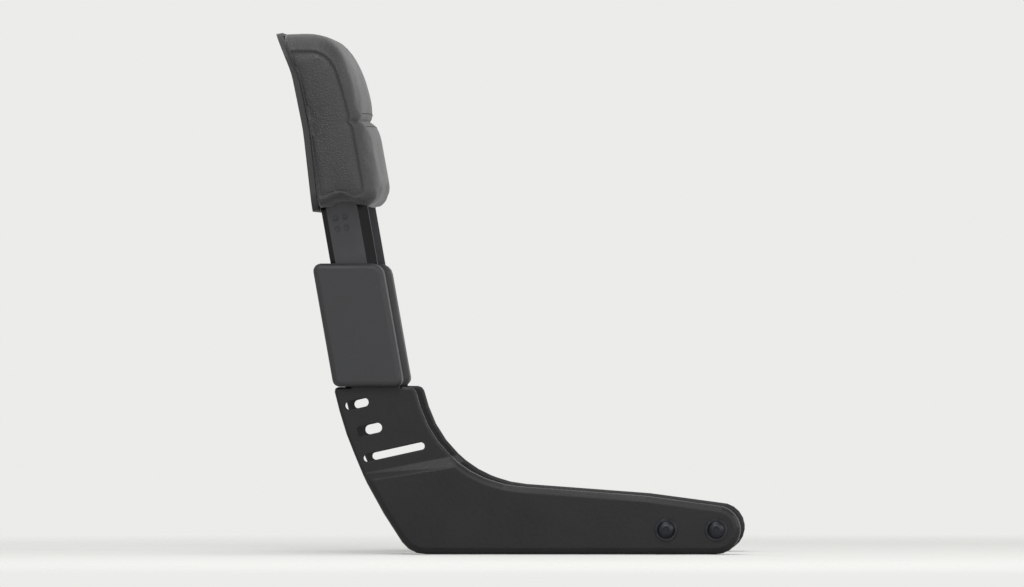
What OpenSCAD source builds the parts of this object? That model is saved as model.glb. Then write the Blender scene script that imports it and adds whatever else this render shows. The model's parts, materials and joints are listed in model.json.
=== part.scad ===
// Sissy bar for a mid-size cruiser motorcycle. Two cast brackets run back along the rear fender
// and turn up into slotted necks. Bevelled uprights are bolted to their tongues inside
// moulded leg covers, and carry an upholstered pad.
// X points forwards, Y across and Z up. The origin is on the middle plane, midway between
// the front and rear fender bolts. Sizes are in millimetres.

/* [Bracket] */
// Distance between the two fender bolts of one side
bolt_pitch = 40; // [36:1:46]
// Height of the arm at its front end
arm_h = 39; // [36:1:42]
// Thickness of the cast arm
arm_t = 16; // [14:0.5:18]
// Distance of the arm's inner face from the middle plane
arm_inner = 108; // [104:1:114]
// Radius of the arm's outer edges
arm_edge = 5; // [3:0.5:6]
// Distance from the middle of the bolt pattern back to the heel corner
heel_back = 225; // [215:1:235]
// Radius of the heel corner
heel_r = 22; // [16:1:26]
// Radius of the bend between the arm and the neck's front edge
bend_r = 90; // [70:1:95]
// Thickness of the neck and its tongue
neck_t = 9; // [8:0.5:10]
// Distance from the arm's inner face out to the neck's inner face
neck_step = 2; // [1:0.5:2.5]
// Width of the neck at the leg cover
neck_w = 65; // [62:1:68]
// Radius of the neck's edges
neck_edge = 2; // [1:0.25:2.5]
// Width of the tongue inside the leg cover
tongue_w = 38; // [36:0.5:38.5]
// Length of the tongue above the neck
tongue_l = 82; // [80:1:84]
// Depth of the weight-saving pockets in the arm's hidden side
pocket_d = 9; // [6:0.5:10]
// Rim left round the pockets
pocket_rim = 6; // [5:0.5:8]
// Number of pockets
pockets = 4; // [3:1:5]

/* [Neck slots] */
// Length of the long slot
slot_l = 50; // [43:1:52]
// Height of the long slot
slot_h = 6; // [5:0.5:7]
// Distance from the middle of the bolt pattern back to the long slot's middle
slot_back = 237.5; // [234:0.5:241]
// Height of the long slot's middle
slot_z = 62; // [58:1:64]
// Slope of the slots and of the shoulder below them
slot_tilt = 12.5; // [8:0.5:16]
// Distance from one slot up to the next
slot_pitch = 22; // [19:0.5:23]
// Distance from the long slot down to the middle of the shoulder
shoulder_drop = 16; // [13:0.5:18]
// Width of the shoulder's sloping face
shoulder_w = 7; // [5:0.5:9]

/* [Upright] */
// Backward lean of the uprights from vertical
lean = 10; // [8:0.5:12]
// Distance from the middle of the bolt pattern back to the foot of the upright's axis
foot_back = 252.5; // [249:0.5:256]
// Height of the foot of the upright's axis, at the neck's top
foot_z = 114; // [110:1:118]
// Width of the upright
bar_w = 37; // [34:1:39]
// Thickness of the upright
bar_t = 12; // [10:0.5:13]
// Width of the front bevel
front_bevel = 8; // [5:0.5:9]
// Width of the rear bevel
rear_bevel = 4; // [2:0.5:5]
// Depth of both bevels
bevel_d = 4.5; // [3:0.5:6]
// Distance from the foot up to the upright's lower end
bar_start = 7; // [6:0.5:8]
// Distance from the foot up to the upright's top
bar_end = 240; // [236:1:246]
// Diameter of the small blind holes near the pad
mark_d = 4.5; // [3:0.25:5]
// Depth of the small blind holes
mark_depth = 1.5; // [0.5:0.25:2.5]

/* [Leg cover] */
// Width of the cover seen from the side
cover_w = 56; // [54:1:58]
// Height of the cover
cover_h = 98.5; // [97:0.5:101]
// Distance of the cover's inner face from the middle plane
cover_inner = 84.5; // [82:0.5:85]
// Distance of the cover's outer face from the middle plane
cover_outer = 128; // [127:0.5:131]
// Wall of the cover
cover_wall = 2.5; // [2:0.25:3]
// Radius of the cover's outer edges
cover_edge = 4; // [2.5:0.5:4.5]

/* [Pad] */
// Width of the pad
pad_w = 290; // [280:1:310]
// Depth of the pad, front to back
pad_t = 57; // [56:0.5:60]
// Height of the pad
pad_h = 154.5; // [150:0.5:158]
// Distance from the foot up to the pad's lowest edge
pad_start = 137; // [134:1:139]
// Depth that the front bulges in the middle
pad_crown = 4; // [2:0.5:6]
// Depth of the back shell's rim
shell_lip = 5.2; // [4.5:0.1:6]
// Wall of the back shell
shell_wall = 2.6; // [2:0.1:3]
// Thickness of the inner board
board_t = 8; // [6:0.5:9]
// Width of the inner board
board_w = 234; // [230:1:240]
// Height of the inner board
board_h = 104; // [100:1:106]
// Thickness of the pressed plate
plate_t = 3; // [2.5:0.25:3.5]
// Height of the pressed plate
plate_h = 40; // [36:1:44]

/* [Fasteners] */
// Thread diameter of the fender and leg bolts
m8_d = 8; // [7.5:0.1:8.2]
// Length of the fender bolts under the head
fender_bolt_l = 50; // [46:1:54]
// Length of the thread that stands out of each collar
thread_l = 19; // [15:1:20]
// Diameter of the collars between arm and fender
collar_d = 20; // [17:0.5:24]
// Length of the collars
collar_l = 12; // [10:0.5:13]
// Diameter of the washers
washer_d = 18; // [16:0.5:20]
// Thickness of the washers
washer_t = 1.6; // [1:0.1:2]
// Length of the leg bolts under the head
leg_bolt_l = 30; // [28:0.5:31]
// Thread diameter of the plate and board screws
m6_d = 6; // [5:0.1:6.2]
// Thread diameter of the cover and shell screws
m4_d = 4; // [3.5:0.1:4.2]

/* [Hidden] */
$fn = 48;

// Sides, and places of paired fasteners
RIGHT = -1;
LEFT = 1;
FRONT = 1;
REAR = -1;
UPPER = 1;
LOWER = -1;

// Finishes
casting_colour = "#26272a";
bar_colour = "#1c1d20";
cover_colour = "#2e2f31";
fabric_colour = "#232325";
shell_colour = "#1f2022";
board_colour = "#8a6a45";
steel_colour = "#3a3b3e";
zinc_colour = "#9a9ca0";

// Cuts run this far past the solids that they open
over = 1;
// Clearance of a piece that slips into or over another
slip = 0.4;
// Clearance between faces that seat on each other
seat = 0.2;
// Clearance round a bolt in its hole
bolt_slip = 0.25;
// Clearance of a thread in its mating thread
thread_slip = 0.05;

// Turn of each chord in wide arcs and in tight ones, and the radius where wide ones start
wide_turn = 9;
tight_turn = 24;
wide_r = 12;
// Steps across a rounded edge
edge_steps = 3;

// Bracket edges: places as shares of the sizes that they follow
crest_share = [0.165, 0.7];
bend_share = [0.893, 0.345];
knee_shares = [[0.51, 0.363], [0.86, 0.745]];
knee_r = 190;
neck_rear_share = 0.515;
neck_corner_r = 4;
tongue_corner_r = 8;
// Turns round the nose, from its tip
nose_turns = [84, 67, 50, 33, 16];
// Pairs of places on the lower and the upper edge, as shares of the edges' lengths. The
// shoulder lies between the pairs numbered shoulder_pair and the next.
pair_shares = [
    [0, 0], [0.07, 0.1], [0.145, 0.204], [0.268, 0.374], [0.434, 0.56], [0.52, 0.605],
    [0.594, 0.645], [0.613, 0.665], [0.632, 0.685], [0.651, 0.705], [0.72, 0.727],
    [0.792, 0.749], [0.811, 0.778], [0.855, 0.83], [0.9, 0.885], [0.95, 0.94]
];
shoulder_pair = 11;
neck_corner_turns = [0, 45, 90];
foot_x = -foot_back;
heel_z = -arm_h / 2;
neck_rear = neck_w * neck_rear_share;
neck_front = neck_w - neck_rear;
crest = [-heel_back * crest_share[0], arm_h * crest_share[1]];
bend = [-heel_back * bend_share[0], foot_z * bend_share[1]];

// Lateral stack, as distances outwards from the middle plane
arm_outer = arm_inner + arm_t;
neck_inner = arm_inner + neck_step;
neck_outer = neck_inner + neck_t;
bar_outer = neck_inner;
bar_inner = bar_outer - bar_t;
cover_seam = (bar_inner + bar_outer) / 2;

// Slots above the long one: length and height as shares of the long slot's, and how far
// their rear ends lie behind its rear end, as a share of its length
slot_size_shares = [[1, 1], [0.418, 1.3], [0.38, 1.15]];
slot_rear_shares = [0, 0.019, 0.103];

// Pockets: the band of the arm that they take, as shares of the way back to the heel
pocket_band_share = [0.18, 0.88];
pocket_corner_r = 3;

// Lap joint and cover posts: places along the tongue
lap_shares = [0.415, 0.854];
post_places = [18, 90];
post_r = 4;

// Cover
cover_rear = neck_rear - 0.8 * slip;
cover_front = cover_w - cover_rear;
cover_low_r = 6;
cover_top_r = 10;
cover_low_z = foot_z + seat;
cover_top_z = cover_low_z + cover_h;

// Upright
bar_end_r = 8;
bar_foot_r = 8;
bar_chamfer = 1;
bar_step_place = 20;
bar_tongue_share = [-0.35, 0.24];
bar_step_v = pad_start + bar_step_place;
mark_pitch = [7.5, 9];
mark_shares = [-0.125, -0.02];

// Pad profile in the leaning frame, anticlockwise from the front's lower corner: forward place
// as a share of the depth, height as a share of the height, and radius as a share of the depth
pad_profile_shares = [
    [0.575, 0.0, 0.16], [0.568, 0.463, 0.053], [0.519, 0.482, 0.018], [0.547, 0.502, 0.053],
    [0.495, 0.699, 1.05], [0.377, 0.942, 0.53], [-0.509, 1.0, 0.06], [-0.382, 0.783, 1.05],
    [-0.361, 0.485, 2.6], [-0.432, 0.061, 0.07], [0.088, 0.104, 0.4]
];
pad_top_r = 24;
pad_low_r = 15;
pad_front_r = 10;
pad_rear_r = 3;
pad_half = pad_w / 2;
pad_mid_u = -0.17 * pad_t;
pad_mid_v = pad_start + 0.5 * pad_h;
// Stations across the pad: shares of the half width up to the rounded end, then turns round it
pad_flat_shares = [0, 0.3, 0.55, 0.72];
pad_end_turns = [0, 20, 40, 60, 75, 90];

// Board, plate and their fasteners, in the leaning frame
board_u = 11;
board_rise = 19;
board_v = pad_start + board_rise;
board_corner_r = 12;
plate_v = board_v + (board_h - plate_h) / 2;
plate_ear_share = 0.62;
ear_l = bar_w * plate_ear_share;
pocket_front_u = board_u + board_t + seat;
board_screw_y_share = 0.6;
plate_screw_share = 0.25;
shell_post_y_share = 0.36;
shell_post_inset = 15;
shell_post_r = 4.5;
shell_boss_r = 6.5;
shell_seat_depth = 4.5;
screw_bite = 5;

// Fastener forms
m8_r = m8_d / 2;
m6_r = m6_d / 2;
m4_r = m4_d / 2;
button_r_share = 0.875;
button_h_share = 0.55;
socket_share = 0.625;
socket_depth_share = 0.34;
shank_share = 0.9;
tip_share = 0.125;
nut_af = 13;
nut_h = 8;
nut_flange_r = 8.5;
nut_flange_h = 1.6;
tee_flange_r = 9.5;
tee_flange_h = 1.2;
tee_barrel_r = 4.2;
tee_barrel_share = 0.85;

function unit(v) = v / norm(v);
function spun(v, a) = [v[0] * cos(a) - v[1] * sin(a), v[0] * sin(a) + v[1] * cos(a)];
function flat(p) = [p[0], p[1]];
function chords(turn, r) = max(2, ceil(turn / (r > wide_r ? wide_turn : tight_turn)));

// Arc of radius r that replaces the corner b between the points a and c
function corner_arc(a, b, c, r) =
    let (
        to_a = unit(a - b),
        to_c = unit(c - b),
        half = acos(to_a * to_c) / 2,
        turn = 180 - 2 * half,
        way = sign(cross(b - a, c - b)),
        centre = b + unit(to_a + to_c) * r / sin(half),
        start = b + to_a * r / tan(half) - centre,
        steps = chords(turn, r)
    )
    [for (k = [0:steps]) centre + spun(start, way * turn * k / steps)];

// Outline through corners given as [x, y, radius], anticlockwise
function rounded(corners) =
    let (n = len(corners))
    [for (i = [0:n - 1]) each corner_arc(
        flat(corners[(i + n - 1) % n]), flat(corners[i]), flat(corners[(i + 1) % n]),
        corners[i][2])];

// Outline moved inwards by a distance for each of its points
function inset(outline, d) =
    let (n = len(outline))
    [for (i = [0:n - 1])
        let (
            before = unit(outline[i] - outline[(i + n - 1) % n]),
            after = unit(outline[(i + 1) % n] - outline[i]),
            left = [-before[1] - after[1], before[0] + after[0]]
        )
        outline[i] + left * d[i] / (1 + before * after)];
function shrunk(outline, d) = inset(outline, [for (p = outline) d]);

function lifted(outline, h) = [for (p = outline) [p[0], p[1], h]];

// Rings of a plate with rounded edges, from low to high
function plate_rings(outline, low, high, low_r, high_r) = concat(
    [for (k = [0:edge_steps]) let (a = 90 * k / edge_steps)
        lifted(shrunk(outline, low_r * (1 - sin(a))), low + low_r * (1 - cos(a)))],
    [for (k = [0:edge_steps]) let (a = 90 * k / edge_steps)
        lifted(shrunk(outline, high_r * (1 - cos(a))), high - high_r * (1 - sin(a)))]);

// Forward place of the upright's axis at height z
function axis_x(z) = foot_x - (z - foot_z) * tan(lean);

// Open path through corners given as [x, y, radius]; its two ends stay as they are
function rounded_path(corners) =
    let (last = len(corners) - 1)
    concat(
        [flat(corners[0])],
        [for (i = [1:last - 1]) each corner_arc(
            flat(corners[i - 1]), flat(corners[i]), flat(corners[i + 1]), corners[i][2])],
        [flat(corners[last])]);

// Length of a path up to each of its points
function running(path) = [for (i = 0, l = 0; i < len(path);
    l = l + (i + 1 < len(path) ? norm(path[i + 1] - path[i]) : 0), i = i + 1) l];

// Point of a path at a share of its length
function along(path, share) =
    let (l = running(path), t = share * l[len(l) - 1])
    [for (axis = [0, 1]) lookup(t, [for (i = [0:len(path) - 1]) [l[i], path[i][axis]]])];

// The bracket's lower edge, which turns up into the neck's rear, and its upper edge
function low_edge() =
    let (neck_back = [foot_x - neck_rear, foot_z], heel = [-heel_back, heel_z])
    rounded_path(concat(
        [[bolt_pitch / 2, heel_z], [heel[0], heel[1], heel_r]],
        [for (s = knee_shares) [
            heel[0] + (neck_back[0] - heel[0]) * s[0],
            heel[1] + (neck_back[1] - heel[1]) * s[1], knee_r]],
        [neck_back]));
function high_edge() = rounded_path([
    [bolt_pitch / 2, -heel_z], [crest[0], crest[1], knee_r], [bend[0], bend[1], bend_r],
    [foot_x + neck_front, foot_z]]);

// Pairs of points across the bracket, [upper, lower], from the nose's tip to the neck's top
function bracket_pairs() =
    let (
        low = low_edge(),
        high = high_edge(),
        low_l = running(low)[len(low) - 1],
        high_l = running(high)[len(high) - 1],
        nose_r = arm_h / 2
    )
    concat(
        [for (a = nose_turns) let (x = bolt_pitch / 2 + nose_r * sin(a))
            [[x, nose_r * cos(a)], [x, -nose_r * cos(a)]]],
        [for (s = pair_shares) [along(high, s[1]), along(low, s[0])]],
        [for (a = neck_corner_turns)
            let (down = neck_corner_r * (1 - sin(a)), aside = [neck_corner_r * (1 - cos(a)), 0])
            [along(high, 1 - down / high_l) - aside, along(low, 1 - down / low_l) + aside]]);

// Solid of the bracket: rings drawn in along paired edges, with the shoulder in their heights
module bracket_skin() {
    pairs = bracket_pairs();
    n = len(pairs);
    outline = concat([for (p = pairs) p[0]], [for (i = [n - 1:-1:0]) pairs[i][1]]);
    in_neck = [for (i = [0:2 * n - 1])
        (i < n ? i : 2 * n - 1 - i) > len(nose_turns) + shoulder_pair];
    low = [for (neck = in_neck) neck ? neck_inner : arm_inner];
    high = [for (neck = in_neck) neck ? neck_outer : arm_outer];
    edge = [for (neck = in_neck) neck ? neck_edge : arm_edge];
    turns = [for (k = [0:edge_steps]) 90 * k / edge_steps];
    rings = concat(
        [for (a = turns) let (ring = inset(outline, [for (e = edge) neck_edge * (1 - sin(a))]))
            [for (i = [0:2 * n - 1])
                [ring[i][0], ring[i][1], low[i] + neck_edge * (1 - cos(a))]]],
        [for (a = turns) let (ring = inset(outline, [for (e = edge) e * (1 - cos(a))]))
            [for (i = [0:2 * n - 1])
                [ring[i][0], ring[i][1], high[i] - edge[i] * (1 - sin(a))]]]);
    top = (len(rings) - 1) * 2 * n;
    strip = [for (k = [0:n - 2]) [k, k + 1, 2 * n - 2 - k, 2 * n - 1 - k]];
    polyhedron([for (ring = rings) each ring], concat(
        ring_faces(2 * n, len(rings)),
        [for (q = strip) each [[q[0], q[1], q[2]], [q[0], q[2], q[3]]]],
        [for (q = strip) each [
            [top + q[2], top + q[1], top + q[0]], [top + q[3], top + q[2], top + q[0]]]]));
}

// Height of the arm's top edge at x, between the crest and the bend
function arm_top(x) = crest[1] + (bend[1] - crest[1]) * (crest[0] - x) / (crest[0] - bend[0]);

// Leaning cover outline
function cover_outline() = rounded([
    [axis_x(cover_low_z) - cover_rear, cover_low_z, cover_low_r],
    [axis_x(cover_low_z) + cover_front, cover_low_z, cover_low_r],
    [axis_x(cover_top_z) + cover_front, cover_top_z, cover_top_r],
    [axis_x(cover_top_z) - cover_rear, cover_top_z, cover_low_r]]);

function pad_corner(i) = [
    pad_profile_shares[i][0] * pad_t,
    pad_start + pad_profile_shares[i][1] * pad_h,
    pad_profile_shares[i][2] * pad_t];
function pad_profile() = rounded([for (i = [0:len(pad_profile_shares) - 1]) pad_corner(i)]);

// How far a quarter round of radius r has fallen at y
function fall(y, r) = let (in_round = max(0, abs(y) - pad_half + r))
    r - sqrt(max(0, r * r - in_round * in_round));
function squeezed(x, mid, reach, d) = x - d * (x - mid) / reach;

// Section of the pad at y: the profile drawn in by the rounding of its ends and its crown
function pad_section(profile, y) =
    let (
        front = fall(y, pad_front_r) + pad_crown * pow(y / pad_half, 2),
        rear = fall(y, pad_rear_r),
        top = fall(y, pad_top_r),
        low = fall(y, pad_low_r),
        front_reach = pad_profile_shares[0][0] * pad_t - pad_mid_u,
        rear_reach = pad_mid_u - pad_profile_shares[6][0] * pad_t
    )
    [for (p = profile) [
        p[0] > pad_mid_u
            ? squeezed(p[0], pad_mid_u, front_reach, front)
            : squeezed(p[0], pad_mid_u, rear_reach, rear),
        p[1] > pad_mid_v
            ? squeezed(p[1], pad_mid_v, pad_h / 2, top)
            : squeezed(p[1], pad_mid_v, pad_h / 2, low)]];

half_stations = concat(
    [for (s = pad_flat_shares) s * pad_half],
    [for (a = pad_end_turns) pad_half - pad_top_r * (1 - sin(a))]);
stations = concat(
    [for (i = [len(half_stations) - 1:-1:1]) -half_stations[i]], half_stations);

// Faces between m rings of n points, anticlockwise, with the lowest ring first
function ring_faces(n, m) = [for (j = [0:m - 2]) for (i = [0:n - 1])
    let (a = j * n + i, b = j * n + (i + 1) % n)
    each [[a, a + n, b + n], [a, b + n, b]]];

// Solid between rings of equal count, anticlockwise, with the lowest ring first
module skin(rings) {
    n = len(rings[0]);
    m = len(rings);
    low = [for (i = [0:n - 1]) i];
    high = [for (i = [n - 1:-1:0]) (m - 1) * n + i];
    polyhedron([for (ring = rings) each ring], concat(ring_faces(n, m), [low, high]));
}

// The right side is drawn, and the left side mirrors it
module on_side(side) {
    if (side == RIGHT) children();
    else mirror([0, 1, 0]) children();
}

// Takes shapes drawn in X and Z, and makes their height run outwards on the right side
module outwards() { rotate([90, 0, 0]) children(); }

// Takes shapes drawn in Y and Z, and makes their height run forwards
module forwards() { rotate([90, 0, 90]) children(); }

// The upright's own frame: Z along its axis from the foot, X square to it
module leaning() { translate([foot_x, 0, foot_z]) rotate([0, -lean, 0]) children(); }

module stadium(l, h) {
    square([l - h, h], center = true);
    for (s = [-1, 1]) translate([s * (l - h) / 2, 0]) circle(d = h);
}

module rounded_box(w, h, r) {
    polygon(rounded([[-w / 2, 0, r], [w / 2, 0, r], [w / 2, h, r], [-w / 2, h, r]]));
}

// The slots' own frame, on the outwards frame
module at_slots() { translate([-slot_back, slot_z, 0]) rotate([0, 0, slot_tilt]) children(); }

module neck_slots() {
    at_slots() for (i = [0:len(slot_rear_shares) - 1]) {
        l = slot_l * slot_size_shares[i][0];
        rear = -slot_l * (1 / 2 + slot_rear_shares[i]);
        translate([rear + l / 2, i * slot_pitch, arm_inner - over])
            linear_extrude(arm_t + 2 * over) stadium(l, slot_h * slot_size_shares[i][1]);
    }
}

// Weight-saving pockets in the arm's hidden side, with ribs between them
module arm_pockets() {
    first = -heel_back * pocket_band_share[0];
    run = heel_back * (pocket_band_share[1] - pocket_band_share[0]);
    bay = run / pockets;
    for (i = [0:pockets - 1]) {
        front = first - i * bay;
        rear = front - bay + pocket_rim;
        translate([0, 0, arm_inner - over]) linear_extrude(pocket_d + over) polygon(rounded([
            [rear, heel_z + pocket_rim, pocket_corner_r],
            [front, heel_z + pocket_rim, pocket_corner_r],
            [front, arm_top(front) - pocket_rim, pocket_corner_r],
            [rear, arm_top(rear) - pocket_rim, pocket_corner_r]]));
    }
}

// Hole or pin along the outwards direction at a place on the upright's axis
module across(v, r, low, high) {
    translate([0, -low, v]) rotate([90, 0, 0]) cylinder(r = r, h = high - low);
}

module bracket(side) {
    color(casting_colour) on_side(side) difference() {
        union() {
            outwards() bracket_skin();
            leaning() outwards() translate([0, 0, neck_inner]) linear_extrude(neck_t)
                polygon(rounded([
                    [-tongue_w / 2, -tongue_w / 2, tongue_corner_r],
                    [tongue_w / 2, -tongue_w / 2, tongue_corner_r],
                    [tongue_w / 2, tongue_l, tongue_corner_r],
                    [-tongue_w / 2, tongue_l, tongue_corner_r]]));
        }
        outwards() {
            neck_slots();
            arm_pockets();
            for (end = [FRONT, REAR]) translate([end * bolt_pitch / 2, 0, arm_inner - over])
                cylinder(r = m8_r + bolt_slip, h = arm_t + 2 * over);
        }
        leaning() {
            for (s = lap_shares) across(s * tongue_l, m8_r + bolt_slip,
                neck_inner - over, neck_outer + over);
            across(post_places[0], post_r + slip, neck_inner - over, neck_outer + over);
        }
    }
}

module upright_outline() {
    tongue = bar_tongue_share * bar_w;
    polygon(rounded([
        [-bar_w / 2, bar_start, bar_foot_r], [bar_w / 2, bar_start, bar_foot_r],
        [bar_w / 2, bar_step_v, bar_chamfer], [tongue[1], bar_step_v, bar_chamfer],
        [tongue[1], bar_end, bar_end_r], [tongue[0], bar_end, bar_end_r],
        [tongue[0], bar_step_v, bar_chamfer], [-bar_w / 2, bar_step_v, bar_chamfer]]));
}

// Bar section across its width, with wide bevels on the outer face
module upright_section() {
    rear = -bar_w / 2;
    front = bar_w / 2;
    polygon([
        [rear, -bar_inner - bar_chamfer], [rear, -bar_outer + bevel_d],
        [rear + rear_bevel, -bar_outer], [front - front_bevel, -bar_outer],
        [front, -bar_outer + bevel_d], [front, -bar_inner - bar_chamfer],
        [front - bar_chamfer, -bar_inner], [rear + bar_chamfer, -bar_inner]]);
}

module upright(side) {
    color(bar_colour) on_side(side) leaning() difference() {
        intersection() {
            linear_extrude(bar_end + over) upright_section();
            outwards() linear_extrude(bar_outer + over) upright_outline();
        }
        for (s = lap_shares) across(s * tongue_l, m8_r + bolt_slip, bar_inner - over, bar_outer + over);
        for (v = post_places) across(v, post_r + slip, bar_inner - over, bar_outer + over);
        for (end = [UPPER, LOWER]) plate_screw_place(end)
            across(0, m6_r + thread_slip, bar_inner - over, bar_outer + over);
        for (i = [0, 1]) for (j = [0, 1])
            translate([bar_w * mark_shares[0] + (i - 1 / 2) * mark_pitch[0], 0, 0])
                across(pad_start + (mark_shares[1] * pad_h) + (j - 1 / 2) * mark_pitch[1],
                    mark_d / 2, bar_outer - mark_depth, bar_outer + over);
    }
}

// Hollow cover shell between two heights, open at the seam
module cover_shell(low, high, low_r, high_r, cut_low, cut_high) {
    difference() {
        skin(plate_rings(cover_outline(), low, high, low_r, high_r));
        translate([0, 0, cut_low]) linear_extrude(cut_high - cut_low)
            polygon(shrunk(cover_outline(), cover_wall));
    }
}

// The gap that the upright takes in the cover's top, and the tongue's in its bottom
module cover_gaps() {
    w = bar_w + 2 * slip;
    leaning() {
        translate([-w / 2, -bar_outer - slip, cover_h / 2])
            cube([w, bar_t + 2 * slip, cover_h]);
        translate([-tongue_w / 2 - slip, -neck_outer - slip, -tongue_w / 2])
            cube([tongue_w + 2 * slip, neck_outer + 2 * slip - cover_seam, tongue_w]);
    }
}

module leg_cover_outer(side) {
    color(cover_colour) on_side(side) difference() {
        union() {
            difference() {
                outwards() cover_shell(cover_seam, cover_outer, seat, cover_edge,
                    cover_seam - over, cover_outer - cover_wall);
                cover_gaps();
            }
            leaning() for (v = post_places)
                across(v, post_r, bar_inner - seat, cover_outer - cover_wall / 2);
        }
        leaning() for (v = post_places)
            across(v, m4_r + thread_slip, bar_inner - over, bar_outer + over);
    }
}

module leg_cover_inner(side) {
    color(cover_colour) on_side(side) difference() {
        union() {
            difference() {
                outwards() cover_shell(cover_inner, cover_seam - seat, cover_edge, seat / 2,
                    cover_inner + cover_wall, cover_seam + over);
                cover_gaps();
            }
            leaning() for (v = post_places)
                across(v, post_r, cover_inner + cover_wall / 2, bar_inner - 2 * seat);
        }
        leaning() for (v = post_places) {
            across(v, m4_r + bolt_slip, cover_inner - over, bar_inner);
            across(v, m4_d * button_r_share + bolt_slip, cover_inner - over,
                cover_inner + cover_wall);
        }
    }
}

// Screw or bolt from its seat at 0, with the head up and the shank down. The thread may be
// wider than the shank above it.
module bolt(d, l, thread) {
    r = d / 2;
    head_h = d * button_h_share;
    tip = d * tip_share;
    difference() {
        union() {
            rotate_extrude() polygon([
                [0, 0], [r * 2 * button_r_share, 0], [r * 2 * button_r_share, head_h * 0.35],
                [r * 1.4, head_h * 0.85], [r, head_h], [0, head_h]]);
            rotate_extrude() polygon([
                [0, over / 2], [r * shank_share, over / 2], [r * shank_share, thread - l],
                [r, thread - l], [r, tip - l], [r - tip, -l], [0, -l]]);
        }
        translate([0, 0, head_h - d * socket_depth_share])
            cylinder(d = d * socket_share, h = head_h, $fn = 6);
    }
}

module fender_bolt(side, end) {
    color(steel_colour) on_side(side) outwards()
        translate([end * bolt_pitch / 2, 0, arm_outer + washer_t])
            bolt(m8_d, fender_bolt_l, thread_l);
}

module ring(outer_r, inner_r, h) {
    difference() {
        cylinder(r = outer_r, h = h);
        translate([0, 0, -over]) cylinder(r = inner_r, h = h + 2 * over);
    }
}

module fender_washer(side, end) {
    color(steel_colour) on_side(side) outwards()
        translate([end * bolt_pitch / 2, 0, arm_outer])
            ring(washer_d / 2, m8_r + bolt_slip, washer_t);
}

module fender_collar(side, end) {
    color(steel_colour) on_side(side) outwards()
        translate([end * bolt_pitch / 2, 0, arm_inner - collar_l])
            ring(collar_d / 2, m8_r + bolt_slip, collar_l);
}

function lap_place(end) = tongue_l * lap_shares[end == UPPER ? 1 : 0];
function post_place(end) = post_places[end == UPPER ? 1 : 0];

module leg_bolt(side, end) {
    color(steel_colour) on_side(side) leaning() outwards()
        translate([0, lap_place(end), neck_outer])
            bolt(m8_d, leg_bolt_l, leg_bolt_l - neck_t);
}

module leg_nut(side, end) {
    color(steel_colour) on_side(side) leaning() outwards()
        translate([0, lap_place(end), bar_inner]) mirror([0, 0, 1]) difference() {
            union() {
                cylinder(r = nut_flange_r, h = nut_flange_h);
                cylinder(r = nut_af / 2 / cos(30), h = nut_h, $fn = 6);
            }
            translate([0, 0, -over]) cylinder(r = m8_r + thread_slip, h = nut_h + 2 * over);
        }
}

module cover_screw(side, end) {
    color(steel_colour) on_side(side) leaning() outwards()
        translate([0, post_place(end), cover_inner + cover_wall]) mirror([0, 0, 1])
            bolt(m4_d, bar_outer - cover_inner - cover_wall - over, m4_d);
}

// Pad body without its cuts, in the leaning frame
module pad_body() {
    profile = pad_profile();
    outwards() skin([for (y = stations) lifted(pad_section(profile, y), y)]);
}

// Line that follows the pad's rear profile at a distance d in front of it, from the top down
function rear_path(d) = rounded_path([for (i = [6:9])
    let (corner = pad_corner(i)) [corner[0] + d, corner[1], corner[2]]]);
function turned_round(path) = [for (i = [len(path) - 1:-1:0]) path[i]];

// Region behind that line
module rear_band(d) {
    far = -2 * pad_t;
    path = turned_round(rear_path(d));
    outwards() translate([0, 0, -pad_w]) linear_extrude(2 * pad_w) polygon([
        [far, 0], [path[0][0], 0], each path,
        [path[len(path) - 1][0], pad_start + 2 * pad_h], [far, pad_start + 2 * pad_h]]);
}

// Slab between two such lines, with rounded corners, drawn in by e all round
module rear_slab(near, far, e) {
    half = pad_half - pad_rear_r - e;
    low = pad_corner(9)[1] + e;
    high = pad_corner(6)[1] - e;
    intersection() {
        outwards() translate([0, 0, -pad_w]) linear_extrude(2 * pad_w)
            polygon(concat(rear_path(near), turned_round(rear_path(far))));
        translate([-pad_t, 0, 0]) forwards() linear_extrude(2 * pad_t) polygon(rounded([
            [-half, low, pad_low_r - e], [half, low, pad_low_r - e],
            [half, high, pad_top_r - e], [-half, high, pad_top_r - e]]));
    }
}

// Rear face of the pad's middle at height v, in the leaning frame
function rear_u(v) = lookup(v, [for (i = [9:-1:6]) [pad_corner(i)[1], pad_corner(i)[0]]]);
function shell_post_v(end) = board_v + board_h / 2 + end * (board_h / 2 - shell_post_inset);
function shell_seat_u(end) = rear_u(shell_post_v(end)) + shell_seat_depth;

// Places of paired pad fasteners, in the leaning frame of the right side
module plate_screw_place(end) {
    translate([-bar_w * 0.05, 0, plate_v + plate_h * (1 / 2 + end * plate_screw_share)]) children();
}
module board_screw_place(end) {
    translate([board_u - plate_t, -bar_inner * board_screw_y_share,
        plate_v + plate_h * (1 / 2 + end * plate_screw_share)]) children();
}
module shell_screw_place(end) {
    translate([shell_seat_u(end), -board_w * shell_post_y_share, shell_post_v(end)]) children();
}

module both_sides() {
    children();
    mirror([0, 1, 0]) children();
}

module along_u(r, l) { rotate([0, 90, 0]) cylinder(r = r, h = l); }

module pad_cushion() {
    color(fabric_colour) leaning() difference() {
        pad_body();
        rear_band(shell_lip + seat);
        translate([-pad_t, 0, board_v - seat]) forwards() linear_extrude(pad_t + pocket_front_u)
            rounded_box(board_w + 2 * seat, board_h + 2 * seat, board_corner_r);
        both_sides() {
            translate([-pad_t, -bar_outer - slip, 0])
                cube([pad_t + bar_w / 2 + slip, bar_t + 2 * slip, bar_step_v + 2 * slip]);
            for (end = [UPPER, LOWER]) board_screw_place(end)
                along_u(tee_flange_r + slip, board_t + plate_t + tee_flange_h + slip);
        }
    }
}

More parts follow.
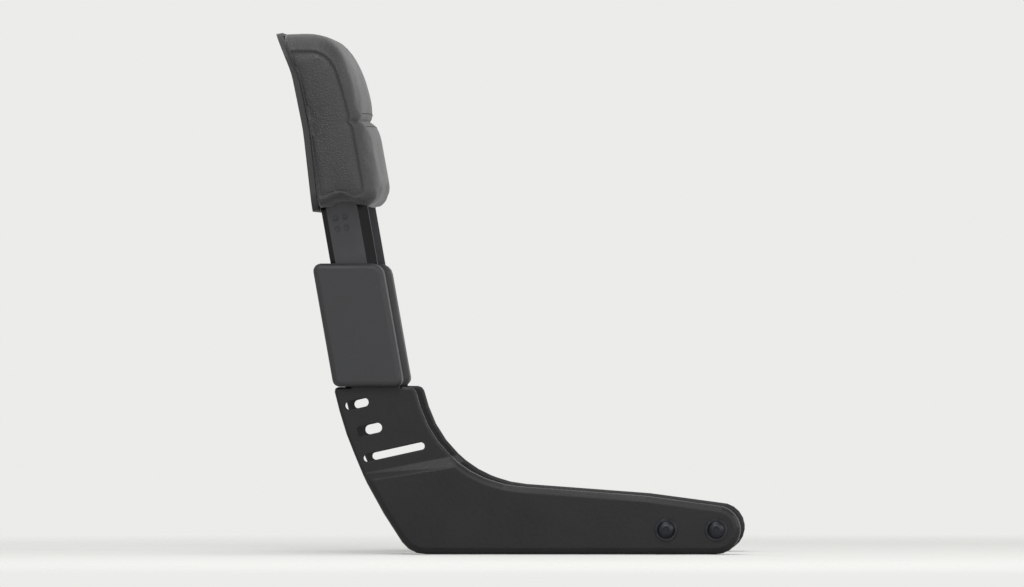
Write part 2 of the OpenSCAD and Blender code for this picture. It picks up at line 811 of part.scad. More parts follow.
module pad_back_shell() {
    color(shell_colour) leaning() difference() {
        union() {
            difference() {
                rear_slab(0, shell_lip, 0);
                rear_slab(shell_wall, shell_lip + over, shell_wall);
            }
            both_sides() for (end = [UPPER, LOWER]) shell_screw_place(end) {
                along_u(shell_post_r, board_u - shell_seat_u(end) - seat);
                translate([shell_wall / 2 - shell_seat_depth, 0, 0])
                    along_u(shell_boss_r, shell_seat_depth + shell_wall / 2);
            }
        }
        both_sides() for (end = [UPPER, LOWER]) shell_screw_place(end) {
            translate([-over, 0, 0]) along_u(m4_r + bolt_slip, pad_t);
            translate([-pad_t, 0, 0]) along_u(m4_d * button_r_share + bolt_slip, pad_t);
        }
    }
}

module pad_board() {
    color(board_colour) leaning() difference() {
        translate([board_u, 0, board_v]) forwards() linear_extrude(board_t)
            rounded_box(board_w, board_h, board_corner_r);
        both_sides() for (end = [UPPER, LOWER]) {
            board_screw_place(end) along_u(tee_barrel_r + slip / 2, 2 * pad_t);
            shell_screw_place(end)
                along_u(m4_r + thread_slip, board_u - shell_seat_u(end) + screw_bite + over);
        }
    }
}

// Pressed channel between the uprights, with an ear bent back along each
module pad_plate() {
    back = board_u - ear_l;
    half = bar_inner;
    corner = 2 * plate_t;
    color(steel_colour) leaning() difference() {
        translate([0, 0, plate_v]) linear_extrude(plate_h) polygon(rounded([
            [back, -half, plate_t / 4], [board_u, -half, corner], [board_u, half, corner],
            [back, half, plate_t / 4], [back, half - plate_t, plate_t / 4],
            [board_u - plate_t, half - plate_t, plate_t], [board_u - plate_t, plate_t - half, plate_t],
            [back, plate_t - half, plate_t / 4]]));
        both_sides() for (end = [UPPER, LOWER]) {
            plate_screw_place(end) across(0, m6_r + bolt_slip, bar_inner - 2 * plate_t, bar_outer);
            board_screw_place(end) translate([-over, 0, 0]) along_u(m6_r + bolt_slip, pad_t);
        }
        translate([0, 0, plate_v + plate_h / 2]) forwards()
            linear_extrude(pad_t) for (i = [-1, 0, 1]) translate([i * bar_inner / 3, 0])
                stadium(bar_inner / 4, plate_h / 3);
    }
}

module plate_screw(side, end) {
    color(steel_colour) on_side(side) leaning() plate_screw_place(end) outwards()
        translate([0, 0, bar_inner - plate_t]) mirror([0, 0, 1])
            bolt(m6_d, bar_t + plate_t, bar_t - over);
}

module board_screw(side, end) {
    color(zinc_colour) on_side(side) leaning() board_screw_place(end)
        rotate([0, -90, 0]) bolt(m6_d, board_t + plate_t, board_t - over);
}

module tee_nut(side, end) {
    barrel_l = board_t * tee_barrel_share;
    color(zinc_colour) on_side(side) leaning() board_screw_place(end)
        translate([plate_t + board_t, 0, 0]) rotate([0, 90, 0]) difference() {
            union() {
                cylinder(r = tee_flange_r, h = tee_flange_h);
                translate([0, 0, -barrel_l]) cylinder(r = tee_barrel_r, h = barrel_l + over / 2);
            }
            translate([0, 0, -board_t]) cylinder(r = m6_r + thread_slip, h = 2 * board_t);
        }
}

module shell_screw(side, end) {
    color(zinc_colour) on_side(side) leaning() shell_screw_place(end)
        rotate([0, -90, 0]) bolt(m4_d, board_u - shell_seat_u(end) + screw_bite, 2 * screw_bite);
}

bracket(RIGHT);  // bracket_right
bracket(LEFT);  // bracket_left
upright(RIGHT);  // upright_right
upright(LEFT);  // upright_left
leg_cover_outer(RIGHT);  // leg_cover_outer_right
leg_cover_outer(LEFT);  // leg_cover_outer_left
leg_cover_inner(RIGHT);  // leg_cover_inner_right
leg_cover_inner(LEFT);  // leg_cover_inner_left
pad_cushion();
pad_back_shell();
pad_board();
pad_plate();
fender_bolt(RIGHT, FRONT);  // fender_bolt_front_right
fender_bolt(RIGHT, REAR);  // fender_bolt_rear_right
fender_bolt(LEFT, FRONT);  // fender_bolt_front_left
fender_bolt(LEFT, REAR);  // fender_bolt_rear_left
fender_washer(RIGHT, FRONT);  // fender_washer_front_right
fender_washer(RIGHT, REAR);  // fender_washer_rear_right
fender_washer(LEFT, FRONT);  // fender_washer_front_left
fender_washer(LEFT, REAR);  // fender_washer_rear_left
fender_collar(RIGHT, FRONT);  // fender_collar_front_right
fender_collar(RIGHT, REAR);  // fender_collar_rear_right
fender_collar(LEFT, FRONT);  // fender_collar_front_left
fender_collar(LEFT, REAR);  // fender_collar_rear_left
leg_bolt(RIGHT, UPPER);  // leg_bolt_upper_right
leg_bolt(RIGHT, LOWER);  // leg_bolt_lower_right
leg_bolt(LEFT, UPPER);  // leg_bolt_upper_left
leg_bolt(LEFT, LOWER);  // leg_bolt_lower_left
leg_nut(RIGHT, UPPER);  // leg_nut_upper_right
leg_nut(RIGHT, LOWER);  // leg_nut_lower_right
leg_nut(LEFT, UPPER);  // leg_nut_upper_left
leg_nut(LEFT, LOWER);  // leg_nut_lower_left
cover_screw(RIGHT, UPPER);  // cover_screw_upper_right
cover_screw(RIGHT, LOWER);  // cover_screw_lower_right
cover_screw(LEFT, UPPER);  // cover_screw_upper_left
cover_screw(LEFT, LOWER);  // cover_screw_lower_left
plate_screw(RIGHT, UPPER);  // plate_screw_upper_right
plate_screw(RIGHT, LOWER);  // plate_screw_lower_right
plate_screw(LEFT, UPPER);  // plate_screw_upper_left
plate_screw(LEFT, LOWER);  // plate_screw_lower_left
board_screw(RIGHT, UPPER);  // board_screw_upper_right
board_screw(RIGHT, LOWER);  // board_screw_lower_right
board_screw(LEFT, UPPER);  // board_screw_upper_left
board_screw(LEFT, LOWER);  // board_screw_lower_left
tee_nut(RIGHT, UPPER);  // tee_nut_upper_right
tee_nut(RIGHT, LOWER);  // tee_nut_lower_right
tee_nut(LEFT, UPPER);  // tee_nut_upper_left
tee_nut(LEFT, LOWER);  // tee_nut_lower_left
shell_screw(RIGHT, UPPER);  // shell_screw_upper_right
shell_screw(RIGHT, LOWER);  // shell_screw_lower_right
shell_screw(LEFT, UPPER);  // shell_screw_upper_left
shell_screw(LEFT, LOWER);  // shell_screw_lower_left
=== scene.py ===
"""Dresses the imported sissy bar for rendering.

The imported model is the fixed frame. Castings, bars, mouldings and small fasteners keep their
meshes and get broken edges and finishes. The upholstered pad with its seams and stitches, and
the fender bolts with their threads, are modelled here. Lengths are in metres unless a name
ends in _mm, and colours are written in sRGB hex.
"""

import json
import logging
import math
from collections.abc import Iterable, Mapping, Sequence
from dataclasses import dataclass, field
from enum import Enum

import bmesh
import bpy
from mathutils import Matrix, Vector
from mathutils.bvhtree import BVHTree

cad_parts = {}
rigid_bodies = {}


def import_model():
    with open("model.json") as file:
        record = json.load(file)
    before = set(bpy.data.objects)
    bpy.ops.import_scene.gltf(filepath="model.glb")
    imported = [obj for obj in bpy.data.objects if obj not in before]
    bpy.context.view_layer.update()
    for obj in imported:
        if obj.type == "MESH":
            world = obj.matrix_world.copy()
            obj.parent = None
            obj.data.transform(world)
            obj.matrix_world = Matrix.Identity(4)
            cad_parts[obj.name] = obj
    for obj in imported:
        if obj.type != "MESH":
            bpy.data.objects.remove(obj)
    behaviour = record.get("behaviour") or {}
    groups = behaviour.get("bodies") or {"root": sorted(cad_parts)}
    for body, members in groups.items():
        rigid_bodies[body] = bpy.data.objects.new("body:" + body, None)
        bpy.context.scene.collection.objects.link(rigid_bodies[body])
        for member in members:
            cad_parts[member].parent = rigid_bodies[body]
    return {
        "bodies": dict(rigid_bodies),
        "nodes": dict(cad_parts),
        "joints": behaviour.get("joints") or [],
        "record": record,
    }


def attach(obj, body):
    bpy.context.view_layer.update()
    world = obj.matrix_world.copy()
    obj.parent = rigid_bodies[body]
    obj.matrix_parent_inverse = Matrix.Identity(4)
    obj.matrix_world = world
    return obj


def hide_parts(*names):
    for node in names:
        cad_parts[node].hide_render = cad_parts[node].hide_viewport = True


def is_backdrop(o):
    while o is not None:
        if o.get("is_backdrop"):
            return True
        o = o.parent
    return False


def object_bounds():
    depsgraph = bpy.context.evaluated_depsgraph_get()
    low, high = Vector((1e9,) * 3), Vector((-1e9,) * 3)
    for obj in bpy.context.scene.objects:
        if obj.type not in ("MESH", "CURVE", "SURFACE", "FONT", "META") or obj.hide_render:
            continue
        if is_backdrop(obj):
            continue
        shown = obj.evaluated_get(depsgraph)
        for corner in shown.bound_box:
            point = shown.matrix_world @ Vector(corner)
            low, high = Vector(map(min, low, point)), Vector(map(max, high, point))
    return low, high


LOG = logging.getLogger("sissy_bar")
MM = 0.001
BODY = "root"
SIDES = ("right", "left")
ENDS = ("front", "rear")
WELD_GAP = 0.004 * MM  # split corners of the loaded meshes lie nearer than this
SAME_POINT = 0.001 * MM  # points of a turned outline that are nearer than this are one

Piece = bpy.types.Object
Mesh = bmesh.types.BMesh
Tree = bpy.types.NodeTree
Socket = bpy.types.NodeSocket


# ---- shading helpers


def linear(hex_colour: str) -> tuple[float, float, float, float]:
    """Turns an sRGB hex colour into linear values.

    Args:
        hex_colour: Six digits after a hash.

    Returns:
        Red, green, blue and an alpha of 1.
    """
    values = [int(hex_colour[i : i + 2], 16) / 255 for i in (1, 3, 5)]
    red, green, blue = (
        v / 12.92 if v <= 0.04045 else ((v + 0.055) / 1.055) ** 2.4 for v in values
    )
    return red, green, blue, 1.0


def add_node(
    tree: Tree,
    kind: str,
    settings: Mapping[str, object] | None = None,
    inputs: Mapping[str | int, object] | None = None,
    links: Mapping[str | int, Socket] | None = None,
) -> bpy.types.Node:
    """Adds a shader node with its settings and links.

    Args:
        tree: The material's or world's node tree.
        kind: Blender's name of the node type, without ShaderNode in front.
        settings: Values of the node's own properties.
        inputs: Values of its input sockets.
        links: Output sockets that lead into its inputs.

    Returns:
        The new node.
    """
    node = tree.nodes.new("ShaderNode" + kind)
    for name, value in (settings or {}).items():
        setattr(node, name, value)
    for name, value in (inputs or {}).items():
        node.inputs[name].default_value = value
    for name, socket in (links or {}).items():
        tree.links.new(socket, node.inputs[name])
    return node


def noise(tree: Tree, place: Socket, scale: float, detail: float) -> bpy.types.Node:
    """Adds a soft noise.

    Args:
        tree: The material's tree.
        place: Socket of the coordinates.
        scale: Patches in a metre.
        detail: Number of finer layers.

    Returns:
        The noise node.
    """
    return add_node(
        tree, "TexNoise", None, {"Scale": scale, "Detail": detail}, {"Vector": place}
    )


def ramp(
    tree: Tree,
    value: Socket,
    span: tuple[float, float],
    to: tuple[float, float] = (0.0, 1.0),
    smooth: bool = False,
) -> Socket:
    """Maps a span of a value onto another one and holds it at both ends.

    Args:
        tree: The material's tree.
        value: Socket of the value.
        span: Where the change starts and ends.
        to: What it becomes there.
        smooth: Whether the change eases in and out.

    Returns:
        The socket of the mapped value.
    """
    return add_node(
        tree,
        "MapRange",
        {"interpolation_type": "SMOOTHSTEP" if smooth else "LINEAR"},
        {"From Min": span[0], "From Max": span[1], "To Min": to[0], "To Max": to[1]},
        {"Value": value},
    ).outputs["Result"]


def empty_tree(owner: bpy.types.Material | bpy.types.World) -> Tree:
    """Gives a material or world an empty node tree.

    Args:
        owner: The material or world.

    Returns:
        The tree.
    """
    owner.use_nodes = True
    owner.node_tree.nodes.clear()
    return owner.node_tree


# ---- mesh helpers


def new_piece(name: str, mesh: Mesh) -> Piece:
    """Makes a scene object of a bmesh, and frees the bmesh.

    Args:
        name: The piece's name.
        mesh: Its geometry, in place.

    Returns:
        The object, at the origin.
    """
    data = bpy.data.meshes.new(name)
    mesh.to_mesh(data)
    mesh.free()
    piece = bpy.data.objects.new(name, data)
    bpy.context.scene.collection.objects.link(piece)
    return piece


def settle(piece: Piece) -> None:
    """Applies every modifier of a piece to its mesh.

    Args:
        piece: The object whose modifiers are used up.
    """
    graph = bpy.context.evaluated_depsgraph_get()
    solid = bpy.data.meshes.new_from_object(piece.evaluated_get(graph))
    piece.modifiers.clear()
    old = piece.data
    solid.name = old.name
    piece.data = solid
    bpy.data.meshes.remove(old)


def shade_smooth(piece: Piece) -> None:
    """Shades every face of a piece smooth."""
    for face in piece.data.polygons:
        face.use_smooth = True


def box(size: Sequence[float], place: Sequence[float]) -> Mesh:
    """Makes a box.

    Args:
        size: Its three sizes.
        place: Its middle.

    Returns:
        The box as a bmesh.
    """
    mesh = bmesh.new()
    bmesh.ops.create_cube(mesh, size=1.0)
    bmesh.ops.scale(mesh, vec=size, verts=mesh.verts)
    bmesh.ops.translate(mesh, vec=place, verts=mesh.verts)
    return mesh


def carve(piece: Piece, cutter: Mesh) -> None:
    """Cuts a closed shape out of a piece.

    Args:
        piece: The object that is cut.
        cutter: The shape that is taken away, in place. It is freed.
    """
    tool = new_piece(piece.name + "_cutter", cutter)
    cut = piece.modifiers.new("Cut", "BOOLEAN")
    cut.operation = "DIFFERENCE"
    cut.solver = "EXACT"
    cut.object = tool
    settle(piece)
    data = tool.data
    bpy.data.objects.remove(tool)
    bpy.data.meshes.remove(data)


def round_edges(node: Piece, width_mm: float, angle: float = 38.0) -> None:
    """Breaks the sharp edges of a rigid node with a small radius.

    Args:
        node: The object, whose own mesh stays as it is.
        width_mm: Width of the broken edge in millimetres.
        angle: Edges flatter than this many degrees stay as they are.
    """
    weld = node.modifiers.new("Weld", "WELD")
    weld.merge_threshold = WELD_GAP
    bevel = node.modifiers.new("Edges", "BEVEL")
    bevel.width = width_mm * MM
    bevel.segments = 2
    bevel.limit_method = "ANGLE"
    bevel.angle_limit = math.radians(angle)
    bevel.harden_normals = True
    bevel.use_clamp_overlap = True


# ---- finishes


class Grain(Enum):
    """How a surface was made, which sets its fine relief."""

    ORANGE_PEEL = "sprayed powder or enamel that has flowed"
    SPARK_ERODED = "moulded in a spark-eroded tool"
    BRUSHED = "brushed along its length"
    EMBOSSED = "embossed leather cells"
    TWISTED = "twisted thread"
    PLATED = "fine crystals of a plating bath"
    VENEER = "peeled veneer"


# What the patterns of all finishes are drawn with
BEND_WAVES = 0.45  # waves of the noise that bends leather, in one cell
VALLEY_REACH = 0.32  # how far, in cells, a rounded valley reaches from a leather cell's edge
WAVE_DIVISOR = 6.3  # makes a line of the veneer about two grains wide
PIT_WAVES = 0.5  # waves of noise in one pit
ROUGH_LAYERS, SMOOTH_LAYERS = 6.0, 1.5  # finer layers of an eroded grain, and of the others
GRAIN_SHADE = 0.35  # how much the grain changes the colour, against the patches' 1
COLOUR_SPAN = (0.35, 1.0)  # values that give the darkest and the lightest colour
GLOSS_SPAN = (0.3, 0.7)  # values that give the lowest and the highest roughness
SIDE_SPAN = (0.9, 0.98)  # share of Y in the normals of bevels, and of flat sides; the painted shade fades out between them
BEVEL_SHADE_SPECULAR = 0.15  # mirror-like reflection on the bevels, lowered where their shade is painted


@dataclass(frozen=True)
class Finish:
    """A real surface finish and how it meets the eye.

    Attributes:
        name: Common name of the material and its process.
        colours: Darkest and lightest colour of its soft mottling.
        roughness: Lowest and highest roughness.
        grain: What made its fine relief.
        grain_mm: Size of one cell, pit or streak.
        relief_mm: Depth of that relief.
        patch_mm: Size of the soft patches that vary colour and gloss.
        metallic: 1 for bare metal, 0 for the rest.
        ior: Index of refraction of what covers it.
        sheen: Share of the soft glow that fibres and dust give.
        edge_mm: Radius over which the shader blends facets and edges, 0 for none.
        specular: Level of the mirror-like reflection, 0.5 for a clean surface.
        lean: Degrees by which the grain's length leans forwards from upright.
        bevel_shade_colour: Painted shade for faces turned away from Y, a dark colour that stands
            in for their shade.
    """

    name: str
    colours: tuple[str, str]
    roughness: tuple[float, float]
    grain: Grain
    grain_mm: float
    relief_mm: float
    patch_mm: float = 35.0
    metallic: float = 0.0
    ior: float = 1.5
    sheen: float = 0.0
    edge_mm: float = 0.0
    specular: float = 0.5
    lean: float = 0.0
    bevel_shade_colour: str | None = None

    def stretch(self) -> tuple[float, float, float]:
        """Tells how far the pattern is drawn out.

        Returns:
            One factor for each axis.
        """
        if self.grain is Grain.BRUSHED:
            return 1.0, 1.0, 33.0
        if self.grain is Grain.VENEER:
            return 1.0, 16.0, 1.0
        return 1.0, 1.0, 1.0

    def leather_cells(self, tree: Tree, place: Socket) -> Socket:
        """Adds bent cells with rounded valleys between them.

        Args:
            tree: The material's tree.
            place: Socket of the coordinates, in metres.

        Returns:
            The socket of the height, 0 in the valleys and 1 on the cells.
        """
        cell = self.grain_mm * MM
        bend = noise(tree, place, BEND_WAVES / cell, 2.0).outputs["Color"]
        shift = add_node(
            tree, "VectorMath", {"operation": "SCALE"}, {"Scale": cell}, {0: bend}
        ).outputs[0]
        moved = add_node(
            tree, "VectorMath", {"operation": "ADD"}, links={0: place, 1: shift}
        ).outputs[0]
        cells = add_node(
            tree, "TexVoronoi", {"feature": "DISTANCE_TO_EDGE"},
            {"Scale": 1 / cell}, {"Vector": moved},
        )
        return ramp(tree, cells.outputs["Distance"], (0.0, VALLEY_REACH), smooth=True)

    def relief(self, tree: Tree, place: Socket) -> Socket:
        """Adds the height pattern of the finish.

        Args:
            tree: The material's tree.
            place: Socket of the coordinates, in metres.

        Returns:
            The socket that carries the height, from 0 to about 1.
        """
        scale = 1 / (self.grain_mm * MM)
        if self.grain is Grain.EMBOSSED:
            return self.leather_cells(tree, place)
        if self.grain is Grain.VENEER:
            return add_node(
                tree, "TexWave", {"bands_direction": "Z"},
                {"Scale": scale / WAVE_DIVISOR, "Distortion": 6.0, "Detail": 3.0},
                {"Vector": place},
            ).outputs["Fac"]
        layers = ROUGH_LAYERS if self.grain is Grain.SPARK_ERODED else SMOOTH_LAYERS
        pits = noise(tree, place, PIT_WAVES * scale, layers)
        pits.inputs["Roughness"].default_value = 0.6
        return pits.outputs["Fac"]

    def paint_bevel_shade(self, tree: Tree, shader: bpy.types.Node, normal: Socket) -> None:
        """Keeps the brushed flat sides and paints shade on the bevels, near black with a weak
        reflection.

        Args:
            tree: The material's tree.
            shader: Its Principled node, with the flat sides' colour linked.
            normal: Socket of the piece's own normals.
        """
        base = shader.inputs["Base Color"]
        face_colour = base.links[0].from_socket
        across = add_node(tree, "SeparateXYZ", links={"Vector": normal}).outputs["Y"]
        turned = add_node(tree, "Math", {"operation": "ABSOLUTE"}, links={0: across})
        flat = ramp(tree, turned.outputs[0], SIDE_SPAN, smooth=True)
        # painted shade: the colour turns near black where the normal leaves the Y axis
        shaded_colour = add_node(
            tree, "Mix", {"data_type": "RGBA"},
            {6: linear(self.bevel_shade_colour)}, {0: flat, 7: face_colour},
        )
        shine = ramp(tree, flat, (0.0, 1.0), (BEVEL_SHADE_SPECULAR, self.specular))
        tree.links.new(shaded_colour.outputs[2], base)
        tree.links.new(shine, shader.inputs["Specular IOR Level"])

    def build(self) -> bpy.types.Material:
        """Builds the material of the finish.

        Returns:
            The material, named for the finish.
        """
        material = bpy.data.materials.new(self.name)
        tree = empty_tree(material)
        coordinates = add_node(tree, "TexCoord")
        where = coordinates.outputs["Object"]
        place = add_node(
            tree, "Mapping", {"vector_type": "TEXTURE"},
            {"Rotation": (0.0, math.radians(self.lean), 0.0), "Scale": self.stretch()},
            {"Vector": where},
        ).outputs["Vector"]
        height = self.relief(tree, place)
        patches = noise(tree, where, 1 / (self.patch_mm * MM), 4.0).outputs["Fac"]
        blend = add_node(
            tree, "Math", {"operation": "MULTIPLY_ADD"},
            {1: GRAIN_SHADE}, {0: height, 2: patches},
        )
        colour = add_node(
            tree, "Mix", {"data_type": "RGBA"},
            {6: linear(self.colours[0]), 7: linear(self.colours[1])},
            {0: ramp(tree, blend.outputs[0], COLOUR_SPAN)},
        )
        bump = add_node(
            tree, "Bump", None,
            {"Strength": 1.0, "Distance": self.relief_mm * MM}, {"Height": height},
        )
        if self.edge_mm:
            soft = add_node(tree, "Bevel", {"samples": 4}, {"Radius": self.edge_mm * MM})
            tree.links.new(soft.outputs["Normal"], bump.inputs["Normal"])
        shader = add_node(
            tree,
            "BsdfPrincipled",
            inputs={
                "Metallic": self.metallic,
                "IOR": self.ior,
                "Sheen Weight": self.sheen,
                "Sheen Roughness": 0.45,
                "Specular IOR Level": self.specular,
            },
            links={
                "Base Color": colour.outputs[2],
                "Roughness": ramp(tree, patches, GLOSS_SPAN, self.roughness),
                "Normal": bump.outputs["Normal"],
            },
        )
        # Painted shade: faces turned away from Y get a near-black colour and a weaker reflection
        if self.bevel_shade_colour:
            self.paint_bevel_shade(tree, shader, coordinates.outputs["Normal"])
        add_node(tree, "OutputMaterial", links={"Surface": shader.outputs["BSDF"]})
        return material


# Powder that has melted and flowed over a sandblasted casting: soft satin with orange peel
CASTING = Finish(
    "powder-coated cast aluminium", ("#0b0c0d", "#141517"), (0.36, 0.48),
    Grain.ORANGE_PEEL, 2.0, 0.1, ior=1.45, edge_mm=1.6, specular=0.36,
)
# Anodised bar: the flat sides are brushed lengthwise under the dye; the bevels carry painted
# shade, near black
BAR = Finish(
    "brushed and black-anodised aluminium bar", ("#25262a", "#333438"), (0.3, 0.4),
    Grain.BRUSHED, 0.9, 0.012, edge_mm=0.5, lean=-10.0, bevel_shade_colour="#0a0a0b",
)
# Glass-filled nylon from an eroded tool: even, dull, slightly grey where the grain catches light
COVER = Finish(
    "moulded glass-filled nylon", ("#161719", "#222326"), (0.5, 0.62),
    Grain.SPARK_ERODED, 1.1, 0.07, edge_mm=1.4,
)
# The pad's rear panel comes from the same kind of tool, with a finer and more even grain
SHELL = Finish(
    "moulded ABS", ("#1c1d1f", "#222325"), (0.52, 0.56),
    Grain.SPARK_ERODED, 0.9, 0.06, edge_mm=1.2,
)
# Vinyl-coated fabric with rolled cells: drawn at 2 mm, coarser than real, so that it shows
LEATHERETTE = Finish(
    "embossed vinyl leatherette", ("#1b1b1c", "#2a2a2c"), (0.42, 0.58),
    Grain.EMBOSSED, 2.0, 0.14, sheen=0.12,
)
# Bonded thread, a shade lighter than the leatherette, so that the rows show
THREAD = Finish(
    "bonded black polyester thread", ("#29292b", "#3b3b3e"), (0.5, 0.65),
    Grain.TWISTED, 0.7, 0.08,
)
# Peeled and pressed veneers, left raw under the cushion
BOARD = Finish(
    "birch plywood", ("#8f6d43", "#c19a68"), (0.6, 0.75), Grain.VENEER, 3.0, 0.05
)
# Pressed plate under baked enamel
PLATE = Finish(
    "black-enamelled steel plate", ("#18191b", "#222326"), (0.32, 0.42),
    Grain.ORANGE_PEEL, 1.2, 0.02,
)
# Zinc under a black passivate: metal, nearly black, with a grey bloom
BLACK_ZINC = Finish(
    "black-passivated zinc on steel", ("#26272a", "#3a3b3f"), (0.3, 0.46),
    Grain.PLATED, 0.8, 0.01, patch_mm=6.0, metallic=1.0,
)
# Zinc under a clear bluish passivate, on the fasteners that the cushion hides
BRIGHT_ZINC = Finish(
    "blue-passivated zinc on steel", ("#9a9ea6", "#b9bcc2"), (0.25, 0.4),
    Grain.PLATED, 0.8, 0.01, patch_mm=6.0, metallic=1.0,
)


class Finishes:
    """Builds each finish once and lays it on pieces."""

    def __init__(self) -> None:
        """Starts with no material built."""
        self._made: dict[str, bpy.types.Material] = {}

    def lay(self, piece: Piece, finish: Finish) -> None:
        """Gives a piece one finish all over.

        Args:
            piece: The object to dress.
            finish: What it is made of.
        """
        if finish.name not in self._made:
            self._made[finish.name] = finish.build()
        piece.data.materials.clear()
        piece.data.materials.append(self._made[finish.name])


# ---- pad


@dataclass(frozen=True)
class Lean:
    """Frame of the leaning uprights: u runs forwards, square to them, and v up along them."""

    foot_x: float = -252.5 * MM
    foot_z: float = 114.0 * MM
    angle: float = 10.0

    def matrix(self) -> Matrix:
        """Returns the matrix from the leaning frame to the object's frame."""
        foot = Matrix.Translation((self.foot_x, 0, self.foot_z))
        return foot @ Matrix.Rotation(-math.radians(self.angle), 4, "Y")


@dataclass
class PadCushion:
    """Upholstered cushion: two sewn front panels that wrap the foam, and a side panel each end.

    Attributes:
        finishes: Where its material comes from.
        lean: Frame that its sizes are in, as u forwards, y across and v upwards.
        low_v: Where its lower end lies.
        height: Its height.
        half: Half its width.
        profile_mm: Corners of its section, anticlockwise from the front's lower one, as u,
            height above the lower end, and radius.
        front_u: Foremost place of the section.
        rear_u: Rearmost place of the section.
        mid_u: Place that the rounded ends are drawn in towards.
        front_r: Round of the ends' front edge.
        rear_r: Round of their rear edge.
        top_r: Round of the upper corners, seen from the front.
        low_r: Round of the lower corners.
        round_v: Share of the corners' rounding that is height.
        crown: How far the front falls back towards its ends.
        wide_r: Corners of the section above this radius get the finer steps.
        wide_step: Degrees of a step there.
        tight_step: Degrees of a step in the other corners.
        cell: Distance between the mesh's rows.
        flat_rows: Rows across, from the middle to where the end's rounding starts.
        turn_rows: Degrees of that rounding that get a row.
        depth_rows: First row along the depth and the one after the last, in cells.
        station_snap: A row across uses vertices that are nearer than this.
        snap: Other rows do so within this distance, and nearer vertices are merged.
        sliver: Edges shorter than this are dissolved.
        rim_gap: How near to the end a seam's vertex lies.
        seam_lip: Width of the cloth that is turned in beside a side seam.
        lip_y: How far the outer lip lies in from the seam.
        seam_depth: Depth of a side seam.
        seam_crease: How sharp the seams stay, up to 1.
        notch_v: Height of the front's seam above the lower end.
        notch_half: Half the width of the strip that this seam holds.
        notch_u: The notch lies in front of this place.
        glued_u: Everything behind this place rests against the rear panel.
        swell: How far the panels may swell.
        pressure: Air pressure that swells them.
        stiffness: How little the covering stretches.
        frames: Steps of the simulation.
        recess_size: Sizes of the recess for the inner board.
        recess_place: Its middle.
        recess_r: Round of its corners.
        channel_size: Sizes of the channel for an upright.
        channel_place: Its middle on the left side.
    """

    finishes: Finishes
    lean: Lean = field(default_factory=Lean)
    low_v: float = 137.0 * MM
    height: float = 154.5 * MM
    half: float = 145.0 * MM
    profile_mm: Sequence[tuple[float, float, float]] = (
        (32.8, 0.0, 9.0), (32.4, 70.0, 4.0), (30.0, 73.1, 0.3), (27.0, 74.5, 0.3),
        (29.8, 75.9, 0.3), (31.0, 79.0, 4.0), (28.2, 108.0, 60.0), (21.5, 145.5, 30.0),
        (-23.6, 153.4, 2.5), (-16.4, 121.0, 60.0), (-15.2, 75.0, 148.0), (-19.2, 10.6, 2.5),
        (5.0, 16.1, 23.0),
    )
    front_u: float = 32.8 * MM
    rear_u: float = -23.6 * MM
    mid_u: float = -9.7 * MM
    front_r: float = 11.0 * MM
    rear_r: float = 3.5 * MM
    top_r: float = 24.0 * MM
    low_r: float = 15.0 * MM
    round_v: float = 0.65
    crown: float = 4.0 * MM
    wide_r: float = 6.0 * MM
    wide_step: float = 12.0
    tight_step: float = 30.0
    cell: float = 5.0 * MM
    flat_rows: int = 24
    turn_rows: Sequence[float] = (12, 24, 36, 48, 60, 70, 78)
    depth_rows: tuple[int, int] = (-5, 8)
    station_snap: float = 0.01 * MM
    snap: float = 0.4 * MM
    sliver: float = 0.1 * MM
    rim_gap: float = 0.03 * MM
    seam_lip: float = 1.6 * MM
    lip_y: float = 0.12 * MM
    seam_depth: float = 1.5 * MM
    seam_crease: float = 0.8
    notch_v: float = 74.5 * MM
    notch_half: float = 0.8 * MM
    notch_u: float = 20.0 * MM
    glued_u: float = -11.0 * MM
    swell: float = 2.2 * MM
    pressure: float = 4.0
    stiffness: float = 15.0
    frames: int = 20
    recess_size: tuple[float, float, float] = (49.2 * MM, 234.4 * MM, 104.4 * MM)
    recess_place: tuple[float, float, float] = (-5.4 * MM, 0.0, 208.0 * MM)
    recess_r: float = 12.0 * MM
    channel_size: tuple[float, float, float] = (75.9 * MM, 12.8 * MM, 40.0 * MM)
    channel_place: tuple[float, float, float] = (-19.05 * MM, 104.0 * MM, 137.8 * MM)

    def section(self) -> list[Vector]:
        """Rounds the corners of the profile.

        Returns:
            Points of the closed outline in the leaning frame.
        """
        corners = [Vector((u * MM, self.low_v + v * MM)) for u, v, _ in self.profile_mm]
        points: list[Vector] = []
        for i, corner in enumerate(corners):
            before, after = corners[i - 1], corners[(i + 1) % len(corners)]
            radius = self.profile_mm[i][2] * MM
            to_before, to_after = (before - corner).normalized(), (after - corner).normalized()
            half = to_before.angle(to_after) / 2
            centre = corner + (to_before + to_after).normalized() * radius / math.sin(half)
            start = corner + to_before * radius / math.tan(half) - centre
            turn = -start.angle_signed(corner + to_after * radius / math.tan(half) - centre)
            step = self.wide_step if radius > self.wide_r else self.tight_step
            steps = max(1, round(abs(turn) / math.radians(step)))
            for k in range(steps + 1):
                cos, sin = math.cos(turn * k / steps), math.sin(turn * k / steps)
                spun = Vector((start.x * cos - start.y * sin, start.x * sin + start.y * cos))
                points.append(centre + spun)
        return points

    def stations(self) -> list[float]:
        """Places across the pad where its mesh gets a row, from the right end to the left.

        Returns:
            Their y values.
        """
        straight = self.half - self.top_r
        flat = [straight * k / self.flat_rows for k in range(self.flat_rows + 1)]
        turns = [
            self.half - self.top_r * (1 - math.sin(math.radians(a))) for a in self.turn_rows
        ]
        ahead = [*flat, *turns, self.half - self.lip_y]
        return [-y for y in reversed(ahead[1:])] + ahead

    def fall(self, y: float, radius: float) -> float:
        """How far a quarter round of a radius at the pad's end has fallen at y."""
        reach = max(0.0, abs(y) - self.half + radius)
        return radius - math.sqrt(max(0.0, radius**2 - reach**2))

